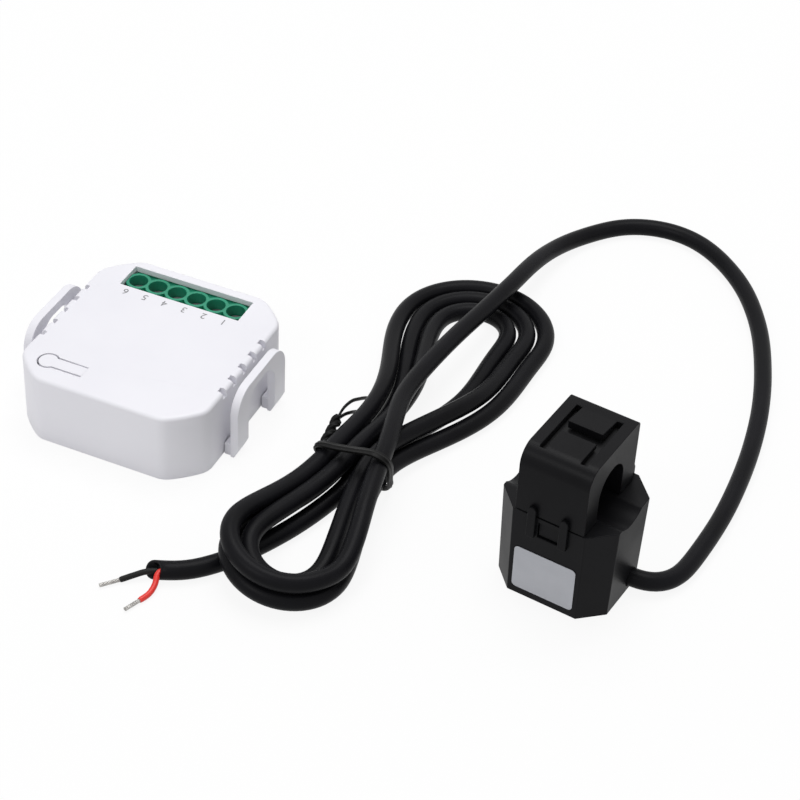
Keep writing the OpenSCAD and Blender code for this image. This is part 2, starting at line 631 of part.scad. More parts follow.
module ct_latch() color("black") at_ct() {
    translate([-latch_w / 2, latch_v, latch_low]) cube([latch_w, latch_t, latch_axis_z + 0.4 - latch_low]);
    translate([-latch_w / 2, bridge_v - barb, latch_low + 0.1])
        cube([latch_w, barb + 0.3, bridge_z - run - latch_low - 0.1]);
}

module ct_hinge_pin() color("silver") at_ct()
    translate([0, pin_v, pin_z]) rotate([0, 90, 0]) cylinder(d = pin_d, h = 2 * ear_u1, center = true);

module lower_core() color("gray") at_ct() {
    core_legs(core_low, core_face, 0);
    translate([-core_w / 2, core_front, core_low]) cube([core_w, core_back - core_front, core_t]);
}

module upper_core() color("gray") at_ct() {
    core_legs(jaw_z + fit, core_high, 0);
    translate([-core_w / 2, core_front, core_high - core_t]) cube([core_w, core_back - core_front, core_t]);
}

// A box round the lower bar of the core, between its legs
module coil_ring(grow, l) translate([0, hole_v, core_low + core_t / 2]) rotate([90, 0, 0])
    linear_extrude(l, center = true) square([core_w + 2 * grow, core_t + 2 * grow], center = true);
coil_l = core_back - core_front - 2 * core_t - 0.4;
former_t = 0.9;
flange = 4;

module coil_bobbin() color("ivory") at_ct() difference() {
    union() {
        coil_ring(former_t, coil_l);
        for (side = [-1, 1]) translate([0, side * (coil_l - former_t) / 2, 0]) coil_ring(flange, former_t);
    }
    coil_ring(seam, ct_d);
}

module coil_winding() color("peru") at_ct() difference() {
    coil_ring(flange - 0.6, coil_l - 2 * former_t - 2 * fit);
    coil_ring(former_t + fit, ct_d);
}

// Size of the label, its corners and its height above the floor
label_w = 14.4;
label_h = 11.4;
label_r = 1;
label_z = 2;
module ct_label() color("lightgray") at_ct() translate([0, -ct_half_v - 0.02, 0]) rotate([atan(ct_slope), 0, 0])
    translate([0, 0, label_z]) rotate([90, 0, 0]) linear_extrude(0.15) {
        translate([-label_w / 2, label_r]) square([label_w, label_h - 2 * label_r]);
        translate([label_r - label_w / 2, 0]) square([label_w - 2 * label_r, label_h]);
        for (side = [-1, 1]) for (y = [label_r, label_h - label_r])
            translate([side * (label_w / 2 - label_r), y]) circle(label_r);
    }

// The cable lies on the floor from the transformer to the hank
module cable_lead() color("black") tube(
    smooth(concat(
        [ct_point([ct_half_u - ct_wall + seam, exit_v, exit_z]), ct_point([ct_half_u + 3, exit_v, exit_z])],
        lead_points, [hank_in - cable_d * hank_in_way, hank_in - seam * hank_in_way]), 2), cable_d, 8);

// Three loops drawn in by the tie
module cable_hank() color("black") tube([for (k = hank_turns(hank_rings)) hank_point(k)], cable_d, 6);

module cable_tail() color("black") tube(
    smooth(concat(
        [hank_out + seam * hank_out_way, hank_out + cable_d * hank_out_way], tail_points, [tail_end]), 2), cable_d, 8);

module wire_black() color("black") tube(smooth(concat(
    [black_start, black_start + 1.5 * tail_way], black_points), 2), wire_d, 8);
module wire_red() color("red") tube(smooth(concat(
    [red_start, red_start + 1.1 * tail_way], red_points), 2), wire_d, 8);

module wire_tips() color("silver") {
    tube([black_points[2], black_tip], strand_d, 8);
    tube([red_points[2], red_tip], strand_d, 8);
}

// A wire tie round the waist; its twisted ends stand up at the left
module twist_tie() color("dimgray") {
    tie_tube([for (p = tie_points) hank_place(p.x, -1.5, p.y)]);
    tube(smooth([for (p = knot_points) hank_place(p.x, -1.5 + p.z, p.y)], 2), 1.6, 8);
}

// A closed ring of wire standing across the loops
module tie_tube(path) {
    m = len(path);
    n = 8;
    out = hank_place(0, 1, 0) - hank_place(0, 0, 0);
    points = [for (i = [0 : m - 1]) let(way = unit(path[(i + 1) % m] - path[(i + m - 1) % m]), a = cross(out, way))
        each [for (k = [0 : n - 1]) path[i] + tie_d / 2 * (cos(360 * k / n) * a + sin(360 * k / n) * out)]];
    polyhedron(points, [for (i = [0 : m - 1]) for (k = [0 : n - 1])
        let(a = i * n + k, b = i * n + (k + 1) % n, c = (i + 1) % m * n + k, d = (i + 1) % m * n + (k + 1) % n)
        each [[a, c, d], [a, d, b]]]);
}

housing_shell();
base_cover();
side_clip_left();
side_clip_right();
button_tab();
terminal_block();
terminal_screw_1();
terminal_screw_2();
terminal_screw_3();
terminal_screw_4();
terminal_screw_5();
terminal_screw_6();
terminal_cage_1();
terminal_cage_2();
terminal_cage_3();
terminal_cage_4();
terminal_cage_5();
terminal_cage_6();
terminal_pins();
main_board();
radio_board();
radio_shield();
mains_transformer();
filter_capacitors();
varistor();
fuse_resistor();
bridge_rectifier();
metering_chip();
power_chip();
status_led();
tact_switch();
switch_plunger();
ct_case();
ct_base_plate();
ct_jaw();
ct_latch();
ct_hinge_pin();
lower_core();
upper_core();
coil_bobbin();
coil_winding();
ct_label();
cable_lead();
cable_hank();
cable_tail();
wire_black();
wire_red();
wire_tips();
twist_tie();
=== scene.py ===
import json
import math

import bmesh
import bpy
from mathutils import Matrix, Vector

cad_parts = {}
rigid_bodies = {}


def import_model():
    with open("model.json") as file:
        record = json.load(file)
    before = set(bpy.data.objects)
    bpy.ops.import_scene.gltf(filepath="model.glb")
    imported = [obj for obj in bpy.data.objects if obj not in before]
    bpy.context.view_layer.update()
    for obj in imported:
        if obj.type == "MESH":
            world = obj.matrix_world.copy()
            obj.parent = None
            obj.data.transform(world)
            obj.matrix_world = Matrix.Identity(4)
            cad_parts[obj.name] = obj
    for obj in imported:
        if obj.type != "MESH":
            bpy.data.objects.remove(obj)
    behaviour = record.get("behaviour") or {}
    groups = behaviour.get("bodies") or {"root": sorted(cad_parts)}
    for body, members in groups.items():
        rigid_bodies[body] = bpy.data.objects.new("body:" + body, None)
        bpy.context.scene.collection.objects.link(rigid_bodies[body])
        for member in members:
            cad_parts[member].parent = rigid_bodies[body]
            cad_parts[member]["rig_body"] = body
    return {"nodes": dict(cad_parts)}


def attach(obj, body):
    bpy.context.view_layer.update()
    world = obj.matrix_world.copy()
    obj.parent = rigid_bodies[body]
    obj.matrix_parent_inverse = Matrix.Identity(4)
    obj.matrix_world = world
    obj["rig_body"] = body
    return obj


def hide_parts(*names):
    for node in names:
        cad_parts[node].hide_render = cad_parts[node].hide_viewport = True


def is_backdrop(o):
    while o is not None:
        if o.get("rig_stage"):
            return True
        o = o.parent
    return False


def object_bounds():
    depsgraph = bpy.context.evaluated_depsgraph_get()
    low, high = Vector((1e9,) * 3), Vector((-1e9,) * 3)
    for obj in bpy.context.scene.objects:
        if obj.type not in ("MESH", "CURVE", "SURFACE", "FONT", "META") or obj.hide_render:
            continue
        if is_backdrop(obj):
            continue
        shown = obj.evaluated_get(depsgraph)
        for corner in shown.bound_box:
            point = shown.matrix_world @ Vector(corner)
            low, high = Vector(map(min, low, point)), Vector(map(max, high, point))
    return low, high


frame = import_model()
cad_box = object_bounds()


# Camera: a long lens stands in front of the set and to its right, and looks down on it.
# It is turned a few degrees about its own axis, as a camera held in the hand is.
scene = bpy.context.scene
scene.view_settings.view_transform = "Standard"
camera_data = bpy.data.cameras.new("camera")
camera_data.sensor_width = 36
camera_data.lens = 103.2
camera = bpy.data.objects.new("camera", camera_data)
scene.collection.objects.link(camera)
scene.camera = camera
camera_at = Vector((0.2058, -0.3551, 0.3381))
camera_aim = Vector((0.0511, 0.0247, 0))
camera_look = (camera_aim - camera_at).to_track_quat("-Z", "Y").to_matrix().to_4x4()
camera_roll = Matrix.Rotation(math.radians(3.164), 4, "Z")
camera.matrix_world = Matrix.Translation(camera_at) @ camera_look @ camera_roll


# Cable: round two-core signal cable, a soft black PVC jacket drawn over the cores, about 1.1 m long.
# It leaves the foot of the current transformer, lies in a wide arc, and is folded into a hank of three
# loops that a tie draws in at the waist. A short tail comes out under the hank and is cut off at a slant.
cable_d = 0.0042
cable_sides = 20
cable_step = 0.0012
tie_d = 0.0011
ct_x = 0.1065
ct_y = -0.0118
ct_turn = math.radians(-7.7)
exit_u = 0.0131
exit_v = 0.0036
exit_z = 0.0031
hank_x = 0.0545
hank_y = -0.0051
hank_turn = math.radians(-3)
hank_up = 0.0787
hank_low = 0.0454
hank_up_r = 0.0205
hank_low_r = 0.0143
hank_belly = 0.004
hank_waist = 0.0068
upper_taper = 0.032
lower_taper = 0.027
waist_gap = 0.0022
loop_gap = 0.0045
inner_tuck = 0.0052
waist_rise = 0.0038
waist_sink = 0.0009
cross_rise = cable_d + 0.0005
cross_reach = 0.017
tail_crossing = Vector((-0.0115, -0.037))
tie_rise = tie_d + 0.0006
tie_reach = 0.012

# Places along the hank, counted in turns; the first turn starts on the right side.
hank_first = 0.13
hank_last = 3
outline_turn = 0.2
outer_last = 0.75
right_start = 0.62
nudge = 0.002


def ct_place(u, v, w):
    """A point of the transformer's own plan, u along the conductor and v across it."""
    x = ct_x + u * math.cos(ct_turn) - v * math.sin(ct_turn)
    y = ct_y + u * math.sin(ct_turn) + v * math.cos(ct_turn)
    return Vector((x, y, w))


def hank_place(a, s, z):
    """A point of the hank's own plan, a across the loops and s along them."""
    x = hank_x + a * math.cos(hank_turn) - s * math.sin(hank_turn)
    y = hank_y + a * math.sin(hank_turn) + s * math.cos(hank_turn)
    return Vector((x, y, z))


def near_waist(s):
    """Nearness to the tie, from 0 in the loops to 1 at the waist."""
    taper = upper_taper if s > 0 else lower_taper
    return math.exp(-((s / taper) ** 2))


def hank_outline(quarter):
    """The hank's outline: right side, lower end, left side, upper end, one quarter each."""
    turn = quarter % 4
    share = turn % 1
    ease = (1 - math.cos(math.pi * share)) / 2
    top = hank_up - hank_up_r
    low = hank_low_r - hank_low
    if turn < 1:
        s = top + (low - top) * share
        half = hank_up_r + (hank_low_r - hank_up_r) * ease
        side = 1
    elif turn < 2:
        s = low - hank_low_r * math.sin(math.pi * share)
        half = hank_low_r
        side = math.cos(math.pi * share)
    elif turn < 3:
        s = low + (top - low) * share
        half = hank_low_r + (hank_up_r - hank_low_r) * ease
        side = -1
    else:
        s = top + hank_up_r * math.sin(math.pi * share)
        half = hank_up_r
        side = -math.cos(math.pi * share)
    pull = near_waist(s) * (1 - hank_waist / half)
    belly = hank_belly * (1 - math.cos(math.tau * min(1, max(0, s / top)))) / 2
    return Vector((half * side * (1 - pull) + belly, s))


def hank_point(turns):
    """Centre of the cable after some turns of the hank."""
    quarter = right_start + 4 * turns
    place = hank_outline(quarter)
    way = (hank_outline(quarter + nudge) - hank_outline(quarter - nudge)).normalized()
    waist = near_waist(place.y)
    outer = turns < outer_last
    inward = (waist_gap * waist + loop_gap * (1 - waist)) * (turns - outline_turn)
    if place.y < 0 and not outer:
        inward -= inner_tuck * (1 - waist)
    lift = 0
    if place.y < 0 and outer:
        lift = cross_rise - waist_sink * waist
    elif outer or outer_last + 1 < turns < outer_last + 2:
        lift = waist_rise * math.sin(math.pi / 2 * min(1, 1.3 * waist))
    hump = cross_rise * math.exp(-(((place - tail_crossing).length / cross_reach) ** 2))
    over_tie = tie_rise * math.exp(-((place.y / tie_reach) ** 2))
    height = cable_d / 2 + over_tie + lift + hump
    return hank_place(place.x + inward * way.y, place.y - inward * way.x, height)


def through(route, steps, ring=False):
    """A smooth curve through a route's points; a ring's last point joins its first."""
    count = len(route)
    curve = []
    for i in range(count if ring else count - 1):
        a = route[(i - 1) % count] if ring else route[max(i - 1, 0)]
        b = route[i]
        c = route[(i + 1) % count]
        d = route[(i + 2) % count] if ring else route[min(i + 2, count - 1)]
        square = 2 * a - 5 * b + 4 * c - d
        cube = 3 * b - a - 3 * c + d
        for j in range(steps):
            t = j / steps
            curve.append((2 * b + (c - a) * t + square * t**2 + cube * t**3) / 2)
    return curve if ring else curve + [route[-1]]


def evenly(path, spacing):
    """The same path with its points a fixed distance apart."""
    even = [path[0]]
    left = spacing
    for a, b in zip(path, path[1:]):
        length = (b - a).length
        done = 0
        while length - done >= left:
            done += left
            even.append(a.lerp(b, done / length))
            left = spacing
        left -= length - done
    return even[:-1] + [path[-1]]


def relaxed(path, passes):
    """A path eased towards the mean of its neighbours, as a springy jacket lies."""
    for _ in range(passes):
        path = path[:1] + [(a + 2 * b + c) / 4 for a, b, c in zip(path, path[1:], path[2:])] + path[-1:]
    return path


def ways(path, ring=False):
    """Direction of a path at each of its points."""
    if ring:
        return [(path[(i + 1) % len(path)] - path[i - 1]).normalized() for i in range(len(path))]
    last = len(path) - 1
    return [(path[min(i + 1, last)] - path[max(i - 1, 0)]).normalized() for i in range(len(path))]


def swept(path, profiles, turns=None):
    """Cross-sections carried along a path without twist, or turned by the angles given."""
    along = ways(path)
    side = along[0].cross(Vector((0, 0, 1))).normalized()
    sections = []
    for i, point in enumerate(path):
        if i:
            side = along[i - 1].rotation_difference(along[i]) @ side
        side = (side - side.dot(along[i]) * along[i]).normalized()
        up = along[i].cross(side)
        angle = turns[i] if turns else 0
        a = side * math.cos(angle) + up * math.sin(angle)
        b = up * math.cos(angle) - side * math.sin(angle)
        sections.append([point + a * p + b * q for p, q in profiles[i]])
    return sections


def disc(radius, sides):
    """Round cross-section."""
    angles = [math.tau * k / sides for k in range(sides)]
    return [(radius * math.cos(angle), radius * math.sin(angle)) for angle in angles]


def skinned(name, sections, ring=False):
    """A closed mesh over cross-sections, with a UV map that runs round it and, in metres, along it."""
    count = len(sections)
    sides = len(sections[0])
    middles = [sum(section, Vector()) / sides for section in sections]
    along = [0.0]
    for a, b in zip(middles, middles[1:] + middles[:1]):
        along.append(along[-1] + (b - a).length)
    faces = []
    maps = []
    for i in range(count if ring else count - 1):
        for k in range(sides):
            m = (k + 1) % sides
            j = (i + 1) % count
            faces.append((i * sides + k, i * sides + m, j * sides + m, j * sides + k))
            maps += [(k / sides, along[i]), ((k + 1) / sides, along[i])]
            maps += [((k + 1) / sides, along[i + 1]), (k / sides, along[i + 1])]
    if not ring:
        faces.append(tuple(reversed(range(sides))))
        faces.append(tuple((count - 1) * sides + k for k in range(sides)))
        maps += [(0.5, 0)] * sides + [(0.5, along[count - 1])] * sides
    mesh = bpy.data.meshes.new(name)
    mesh.from_pydata([tuple(p) for section in sections for p in section], [], faces)
    layer = mesh.uv_layers.new(name="round_and_along")
    for loop, place in zip(layer.data, maps):
        loop.uv = place
    mesh.shade_smooth()
    mesh.set_sharp_from_angle(angle=math.radians(50))
    return mesh


def piece(name, mesh, material, body):
    """A finished object on its body, with the material given."""
    made = bpy.data.objects.new(name, mesh)
    scene.collection.objects.link(made)
    mesh.materials.clear()
    mesh.materials.append(material)
    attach(made, body)
    return made


def add(material, kind, **inputs):
    """A shader node with its inputs set; underscores stand for spaces."""
    made = material.node_tree.nodes.new(kind)
    for key, value in inputs.items():
        made.inputs[key.replace("_", " ")].default_value = value
    return made


def join(material, source, target):
    """A link from one socket to another."""
    material.node_tree.links.new(source, target)


def ramp(material, source, stops):
    """Colours laid over a value from 0 to 1."""
    made = material.node_tree.nodes.new("ShaderNodeValToRGB")
    while len(made.color_ramp.elements) < len(stops):
        made.color_ramp.elements.new(0.5)
    for element, (place, colour) in zip(made.color_ramp.elements, stops):
        element.position = place
        element.color = (*colour, 1)
    join(material, source, made.inputs["Fac"])
    return made.outputs["Color"]


def moulded(name, deep, pale, blotch, rough, grain, depth, specular=0.5, metal=0.0):
    """A surface with blotchy colour and polish and a fine grain; sizes in metres."""
    cell = 0.6
    low = 0.3
    high = 0.7
    material = bpy.data.materials.new(name)
    material.use_nodes = True
    shader = material.node_tree.nodes["Principled BSDF"]
    shader.inputs["Metallic"].default_value = metal
    shader.inputs["Specular IOR Level"].default_value = specular
    place = material.node_tree.nodes.new("ShaderNodeTexCoord")
    clouds = add(material, "ShaderNodeTexNoise", Scale=cell / blotch, Detail=4.0, Roughness=0.55)
    join(material, place.outputs["Object"], clouds.inputs["Vector"])
    colour = ramp(material, clouds.outputs["Fac"], [(low, deep), (high, pale)])
    join(material, colour, shader.inputs["Base Color"])
    polish = add(
        material, "ShaderNodeMapRange", From_Min=low, From_Max=high, To_Min=rough[0], To_Max=rough[1])
    join(material, clouds.outputs["Fac"], polish.inputs["Value"])
    join(material, polish.outputs["Result"], shader.inputs["Roughness"])
    sparks = add(material, "ShaderNodeTexNoise", Scale=cell / grain, Detail=2.0, Roughness=0.6)
    join(material, place.outputs["Object"], sparks.inputs["Vector"])
    bump = add(material, "ShaderNodeBump", Strength=0.5, Distance=depth)
    join(material, sparks.outputs["Fac"], bump.inputs["Height"])
    join(material, bump.outputs["Normal"], shader.inputs["Normal"])
    return material


def drawn_lines(material, scale, depth):
    """Fine lines along a drawn jacket or strip, on top of its grain."""
    nodes = material.node_tree.nodes
    place = nodes["Texture Coordinate"]
    stretch = add(material, "ShaderNodeMapping", Scale=scale)
    lines = add(material, "ShaderNodeTexNoise", Scale=1.0, Detail=2.0)
    bump = add(material, "ShaderNodeBump", Strength=0.6, Distance=depth)
    join(material, place.outputs["UV"], stretch.inputs["Vector"])
    join(material, stretch.outputs["Vector"], lines.inputs["Vector"])
    join(material, lines.outputs["Fac"], bump.inputs["Height"])
    join(material, nodes["Bump"].outputs["Normal"], bump.inputs["Normal"])
    join(material, bump.outputs["Normal"], nodes["Principled BSDF"].inputs["Normal"])


jacket = moulded(
    "soft black PVC", deep=(0.0034, 0.0034, 0.0042), pale=(0.0062, 0.0062, 0.0078), blotch=0.009,
    rough=(0.33, 0.46), grain=0.0003, depth=0.00001, specular=0.075)
drawn_lines(jacket, scale=(44, 26, 1), depth=0.00003)

hank_in = hank_point(hank_first)
hank_out = hank_point(hank_last)
hank_in_way = (hank_point(hank_first + 2 * nudge) - hank_in).normalized()
hank_out_way = (hank_out - hank_point(hank_last - 2 * nudge)).normalized()

# The lead and the tail lie along points over the floor, in millimetres.
lead_route = [Vector(p) / 1000 for p in (
    (126.5, -8.3, 2.6), (129, -4.2, 2.15), (130.3, 3.6, 2.15), (131.4, 16.5, 2.15), (131.3, 29.4, 2.15),
    (130.3, 42.5, 2.15), (128, 57, 2.15), (124, 72, 2.15), (118, 87.6, 2.15), (109, 102, 2.15),
    (97, 112.5, 2.15), (86, 115.5, 2.15), (75, 112, 2.15), (66.6, 102, 2.4), (62.6, 91, 4), (61.4, 79.4, 6.4),
    (60.8, 69, 7.7), (59, 55, 8.4), (57.4, 43.6, 9), (56.3, 32.5, 9.6), (55.6, 20.6, 10.1),
    (56.2, 12.5, 10.7), (58.4, 3.6, 11.5), (60.2, -3.8, 11.8), (61.6, -11.6, 11.6), (63.6, -22.2, 10.6),
    (65.4, -30, 9.2))]
tail_route = [Vector(p) / 1000 for p in (
    (54, -10, 2.3), (52.9, -15.3, 2.15), (50.9, -22.5, 2.15), (48.3, -29.5, 2.15), (45.4, -35.6, 2.15),
    (42.8, -40.4, 2.15), (39.6, -45, 2.15), (35.4, -49.4, 2.15), (32, -51.3, 2.1), (29, -52.3, 2.1))]
lead_start = [ct_place(exit_u + out, exit_v, exit_z) for out in (-0.0013, 0.003)]
lead = through(lead_start + lead_route + [hank_in - cable_d * hank_in_way, hank_in], steps=8)
loop_steps = 320
loops = [hank_point(hank_first + (hank_last - hank_first) * i / loop_steps) for i in range(loop_steps + 1)]
tail = through([hank_out, hank_out + cable_d * hank_out_way] + tail_route, steps=8)
cable_path = relaxed(evenly(lead + loops[1:] + tail[1:], cable_step), passes=12)
cable_sections = swept(cable_path, [disc(cable_d / 2, cable_sides)] * len(cable_path))

# The cut end of the jacket is a short sleeve, hollow at its mouth and slanted towards the open side.
cut_depths = (0.00015, 0.0001, 0.0001, -0.00005, -0.0015)
cut_radii = (0.00203, 0.0019, 0.00163, 0.00155, 0.00152)
tail_end = tail_route[-1]
tail_way = (tail_end - tail_route[-2]).normalized()
cut_side = (cable_sections[-1][0] - tail_end).normalized()
cut_up = tail_way.cross(cut_side)
for depth, radius in zip(cut_depths, cut_radii):
    middle = tail_end + tail_way * depth
    cable_sections.append([middle + cut_side * p + cut_up * q for p, q in disc(radius, cable_sides)])
open_side = Vector((0.22, -0.68, 0.7))
slant_reach = 0.006
for section in cable_sections[-12:]:
    middle = sum(section, Vector()) / len(section)
    slant = max(0, 1 - (tail_end - middle).length / slant_reach)
    for corner in section:
        corner -= tail_way * ((corner - middle).dot(open_side) * slant)
cable = piece("cable", skinned("cable", cable_sections), jacket, "monitor")
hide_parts("cable_lead", "cable_hank", "cable_tail")


# Twist tie: a flat black plastic strip with a wire in its middle, wound once round the waist of the hank.
# Its two ends are twisted together at the left, and what is left over springs out in a bow.
strip_black = moulded(
    "black tie strip", deep=(0.004, 0.004, 0.004), pale=(0.009, 0.009, 0.009), blotch=0.004,
    rough=(0.36, 0.5), grain=0.0002, depth=0.00001, specular=0.1)
drawn_lines(strip_black, scale=(30, 200, 1), depth=0.00003)
strip = [(0.0003, -0.001), (0.0003, -0.0004), (0.0005, 0), (0.0003, 0.0004), (0.0003, 0.001)]
strip += [(-p, -q) for p, q in strip]
slim_strip = [(0.7 * p, 0.4 * q) for p, q in strip]
pair = [(0.0006, -0.0012), (0.0009, -0.0007), (0.0006, 0), (0.0009, 0.0007), (0.0006, 0.0012)]
pair += [(-p, -q) for p, q in pair]
tie_foot = 0.0003
tie_lean = 0.4
tie_route = [hank_place(a / 1000, tie_foot - tie_lean * z / 1000, z / 1000) for a, z in (
    (-8.7, 5.6), (-7.4, 3), (-6, 1.3), (-4, 0.75), (0, 0.6), (3.6, 0.65), (6.2, 0.8), (8, 2.4), (8.4, 5),
    (9.2, 9), (9.4, 11.8), (8.6, 13.9), (6.3, 14.8), (4, 14.3), (0, 12.7), (-4, 11.3), (-7, 10.6),
    (-9, 9.3), (-9.3, 7.6))]
tie_path = through(tie_route, steps=5, ring=True)
across = (hank_place(0, 1, 0) - hank_place(0, 0, 0)).normalized()
tie_sections = []
for point, way in zip(tie_path, ways(tie_path, ring=True)):
    out = across.cross(way)
    tie_sections.append([point + out * p - across * q for p, q in strip])
tie_ring = skinned("tie_ring", tie_sections, ring=True)


def tie_lay(points, spacing):
    """A stretch of the strip through points in millimetres: across the hank, up, and along the hank."""
    route = [hank_place(a / 1000, s / 1000, z / 1000) for a, z, s in points]
    return evenly(through(route, steps=8), spacing)


knot_path = tie_lay(
    ((-9.1, 6, -2.2), (-9.2, 6.2, -0.4), (-9.4, 6.7, 2.4), (-9.7, 7.3, 5.4), (-10.1, 8, 8.4)),
    spacing=0.0003)
knot_twist = 0.36
knot_turns = [i * knot_twist for i in range(len(knot_path))]
tie_knot = skinned("tie_knot", swept(knot_path, [pair] * len(knot_path), knot_turns))
bow_path = tie_lay(
    ((-10, 7.8, 7.8), (-10.3, 8.2, 10.4), (-10.6, 7.8, 13), (-10.6, 7, 16.2), (-10.5, 5.2, 19.6),
     (-10.6, 3, 23), (-10.9, 1, 25.4)), spacing=0.0004)
tie_bow = skinned("tie_bow", swept(bow_path, [slim_strip] * len(bow_path)))
end_path = tie_lay(
    ((-10, 7.9, 7.6), (-9.4, 7.9, 10), (-9.1, 6.8, 12.6), (-9.5, 4.4, 16), (-9.7, 2.4, 18.6)),
    spacing=0.0004)
tie_end = skinned("tie_end", swept(end_path, [slim_strip] * len(end_path)))
tie_form = bmesh.new()
for part in (tie_ring, tie_knot, tie_bow, tie_end):
    tie_form.from_mesh(part)
tie_mesh = bpy.data.meshes.new("twist_tie_strip")
tie_form.to_mesh(tie_mesh)
tie_form.free()
tie = piece("twist_tie_strip", tie_mesh, strip_black, "monitor")
tie_edges = tie.modifiers.new("rounded edges", "BEVEL")
tie_edges.width = 0.00012
tie_edges.segments = 2
tie_edges.angle_limit = math.radians(40)
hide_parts("twist_tie")


# Inner wires: one black and one red core, stranded copper in soft PVC, stripped at the ends.
# They come out of the cut jacket and fork.
core_r = 0.00065
core_end_radii = [0.00064, 0.00056]
black_pvc = moulded(
    "black core PVC", deep=(0.005, 0.005, 0.005), pale=(0.009, 0.009, 0.009), blotch=0.002,
    rough=(0.35, 0.5), grain=0.0001, depth=0.000006, specular=0.16)
red_pvc = moulded(
    "red core PVC", deep=(0.66, 0.016, 0.01), pale=(0.78, 0.034, 0.022), blotch=0.002,
    rough=(0.32, 0.48), grain=0.0001, depth=0.000006)
drawn_lines(black_pvc, scale=(24, 60, 1), depth=0.00001)
drawn_lines(red_pvc, scale=(24, 60, 1), depth=0.00001)
black_route = (
    (30.4, -51.9, 2), (29, -52.5, 1.95), (27.3, -53.6, 1.85), (25.4, -55.1, 1.3), (23.3, -57, 0.75))
red_route = (
    (31.6, -51.5, 2.2), (30.6, -52.2, 2.4), (30.3, -53.4, 2.2), (30.8, -55.4, 1.3), (30.8, -57.9, 0.8),
    (29.9, -60.5, 0.7))
wire_ends = []
for name, node, route, material, slot in (
    ("black_core", "wire_black", black_route, black_pvc, "cable_black"),
    ("red_core", "wire_red", red_route, red_pvc, "wire_red"),
):
    path = relaxed(evenly(through([Vector(p) / 1000 for p in route], steps=8), spacing=0.0003), passes=3)
    radii = [core_r] * (len(path) - len(core_end_radii)) + core_end_radii
    core_mesh = skinned(name, swept(path, [disc(radius, sides=16) for radius in radii]))
    core = piece(name, core_mesh, material, "monitor")
    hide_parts(node)
    wire_ends.append(Vector(route[-1]) / 1000)


# Bare wire ends: seven tinned copper strands each, twisted by hand after the insulation was pulled off.
# One tree of nodes lays six strands in a spiral round a straight one.
strand_d = 0.0003
tinned = moulded(
    "tinned copper", deep=(0.3, 0.29, 0.28), pale=(0.52, 0.51, 0.49), blotch=0.0008,
    rough=(0.34, 0.5), grain=0.00008, depth=0.000004, metal=1.0)
strands = bpy.data.node_groups.new("twisted strands", "GeometryNodeTree")
strand_inputs = {}
for name in ("Length", "Strand", "Turns"):
    socket = strands.interface.new_socket(name, in_out="INPUT", socket_type="NodeSocketFloat")
    strand_inputs[name] = socket.identifier
strands.interface.new_socket("Geometry", in_out="OUTPUT", socket_type="NodeSocketGeometry")


def wire(tree, source, target):
    """A link between two sockets of a geometry tree."""
    tree.links.new(source, target)


given = strands.nodes.new("NodeGroupInput")
spiral = strands.nodes.new("GeometryNodeCurveSpiral")
spiral.inputs["Resolution"].default_value = 22
wire(strands, given.outputs["Turns"], spiral.inputs["Rotations"])
wire(strands, given.outputs["Strand"], spiral.inputs["Start Radius"])
wire(strands, given.outputs["Strand"], spiral.inputs["End Radius"])
wire(strands, given.outputs["Length"], spiral.inputs["Height"])
spots = strands.nodes.new("GeometryNodePoints")
spots.inputs["Count"].default_value = 6
number = strands.nodes.new("GeometryNodeInputIndex")
sixth = strands.nodes.new("ShaderNodeMath")
sixth.operation = "MULTIPLY"
sixth.inputs[1].default_value = math.tau / 6
wire(strands, number.outputs["Index"], sixth.inputs[0])
about = strands.nodes.new("ShaderNodeCombineXYZ")
wire(strands, sixth.outputs["Value"], about.inputs["Z"])
laid = strands.nodes.new("GeometryNodeInstanceOnPoints")
wire(strands, spots.outputs["Points"], laid.inputs["Points"])
wire(strands, spiral.outputs["Curve"], laid.inputs["Instance"])
wire(strands, about.outputs["Vector"], laid.inputs["Rotation"])
straight = strands.nodes.new("GeometryNodeCurvePrimitiveLine")
top = strands.nodes.new("ShaderNodeCombineXYZ")
wire(strands, given.outputs["Length"], top.inputs["Z"])
wire(strands, top.outputs["Vector"], straight.inputs["End"])
bunch = strands.nodes.new("GeometryNodeJoinGeometry")
wire(strands, laid.outputs["Instances"], bunch.inputs["Geometry"])
wire(strands, straight.outputs["Curve"], bunch.inputs["Geometry"])
half = strands.nodes.new("ShaderNodeMath")
half.operation = "MULTIPLY"
half.inputs[1].default_value = 0.5
wire(strands, given.outputs["Strand"], half.inputs[0])
round_bar = strands.nodes.new("GeometryNodeCurvePrimitiveCircle")
round_bar.inputs["Resolution"].default_value = 8
wire(strands, half.outputs["Value"], round_bar.inputs["Radius"])
real = strands.nodes.new("GeometryNodeRealizeInstances")
wire(strands, bunch.outputs["Geometry"], real.inputs["Geometry"])
bars = strands.nodes.new("GeometryNodeCurveToMesh")
bars.inputs["Fill Caps"].default_value = True
wire(strands, real.outputs["Geometry"], bars.inputs["Curve"])
wire(strands, round_bar.outputs["Curve"], bars.inputs["Profile Curve"])
coated = strands.nodes.new("GeometryNodeSetMaterial")
coated.inputs["Material"].default_value = tinned
wire(strands, bars.outputs["Mesh"], coated.inputs["Geometry"])
result = strands.nodes.new("NodeGroupOutput")
wire(strands, coated.outputs["Geometry"], result.inputs["Geometry"])


